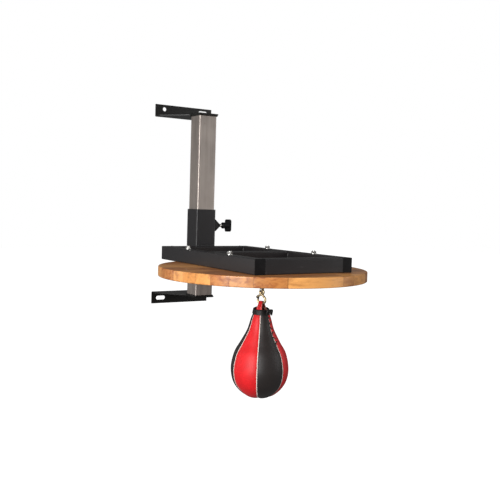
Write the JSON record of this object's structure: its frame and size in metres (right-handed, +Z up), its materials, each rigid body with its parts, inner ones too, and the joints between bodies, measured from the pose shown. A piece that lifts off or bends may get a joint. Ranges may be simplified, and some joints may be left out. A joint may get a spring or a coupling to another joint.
{
  "type": "speed bag platform",
  "caption": "Wall-mounted round wooden rebound board on a height-adjustable steel frame, with a ball-bearing swivel, snap hook and teardrop leather speed bag.",
  "frame": {"origin": "middle of the lower bracket's two bolt slots, on the wall plane", "axes": "+X to the right for someone facing the wall, -Y out from the wall, +Z up"},
  "size_m": [0.5999, 0.833, 0.898],
  "materials": {
    "black_paint": "satin gloss powder coat",
    "post_steel": "bare drawn steel",
    "black_plastic": "moulded",
    "board_wood": "clear varnish over glued staves",
    "zinc_plate": "bright zinc",
    "bearing_steel": "ground",
    "hook_brass": "polished",
    "gate_steel": "dark oxide",
    "red_leather": "soft sheen",
    "black_leather": "soft sheen",
    "piping": "corded",
    "bladder_rubber": "matt",
    "lace_cord": "waxed"
  },
  "bodies": {
    "wall_mount": {"lower_wall_bracket": "black_paint", "upper_wall_bracket": "black_paint", "post": "post_steel"},
    "carriage": {"sleeve": "black_paint", "clamp_boss": "black_paint", "left_side_rail": "black_paint", "right_side_rail": "black_paint", "rear_cross_rail": "black_paint", "middle_cross_rail": "black_paint", "front_cross_rail": "black_paint", "rear_left_plug": "black_plastic", "rear_right_plug": "black_plastic", "front_left_plug": "black_plastic", "front_right_plug": "black_plastic", "board": "board_wood", "board_bolts": "zinc_plate", "board_washers": "zinc_plate", "board_nuts": "zinc_plate", "swivel_plate": "zinc_plate", "swivel_screws": "zinc_plate", "swivel_housing": "zinc_plate", "lower_race": "bearing_steel", "bearing_balls": "bearing_steel", "ball_cage": "hook_brass"},
    "clamp_tip": {"clamp_pad": "hook_brass"},
    "clamp_handle": {"clamp_screw": "zinc_plate", "clamp_knob": "black_plastic"},
    "spindle": {"swivel_eye": "zinc_plate", "spindle_nut": "zinc_plate", "upper_race": "bearing_steel"},
    "hook": {"snap_hook": "hook_brass", "gate_pin": "zinc_plate"},
    "gate": {"hook_gate": "gate_steel"},
    "speed_bag": {"black_panel_1": "black_leather", "red_panel_1": "red_leather", "black_panel_2": "black_leather", "red_panel_2": "red_leather", "black_panel_3": "black_leather", "red_panel_3": "red_leather", "seam_piping": "piping", "bladder": "bladder_rubber", "bladder_valve": "bladder_rubber", "neck_cap": "black_leather", "bag_collar": "black_leather", "strap_loop": "red_leather", "bag_lace": "lace_cord", "lace_knot": "lace_cord"}
  },
  "joints": [
    {"name": "height_adjust", "type": "slide", "parent": "wall_mount", "child": "carriage", "axis": [0, 0, 1], "range_m": [-0.118, 0.302]},
    {"name": "clamp_travel", "type": "slide", "parent": "carriage", "child": "clamp_tip", "axis": [1, 0, 0], "range_m": [0, 0.0045]},
    {"name": "knob_turn", "type": "hinge", "parent": "clamp_tip", "child": "clamp_handle", "pos_m": [0.06, -0.15, 0.258], "axis": [1, 0, 0], "range_deg": [0, 1080]},
    {"name": "swivel_spin", "type": "hinge", "parent": "carriage", "child": "spindle", "pos_m": [0, -0.533, 0.09], "axis": [0, 0, 1], "continuous": true},
    {"name": "hook_swing", "type": "hinge", "parent": "spindle", "child": "hook", "pos_m": [0, -0.533, 0.077], "axis": [-0.8829, -0.4695, 0], "range_deg": [-70, 70]},
    {"name": "gate_open", "type": "hinge", "parent": "hook", "child": "gate", "pos_m": [-0.0047, -0.52417, 0.066], "axis": [-0.8829, -0.4695, 0], "range_deg": [0, 30], "stiffness_Nm_per_rad": 0.03, "springref_deg": -20.05},
    {"name": "bag_rock", "type": "hinge", "parent": "hook", "child": "speed_bag", "pos_m": [0, -0.533, 0.0455], "axis": [0.4695, -0.8829, 0], "range_deg": [-25, 25]}
  ],
  "couplings": [
    {"joint": "knob_turn", "follows": "clamp_travel", "rad_per_m": 4188.8}
  ]
}
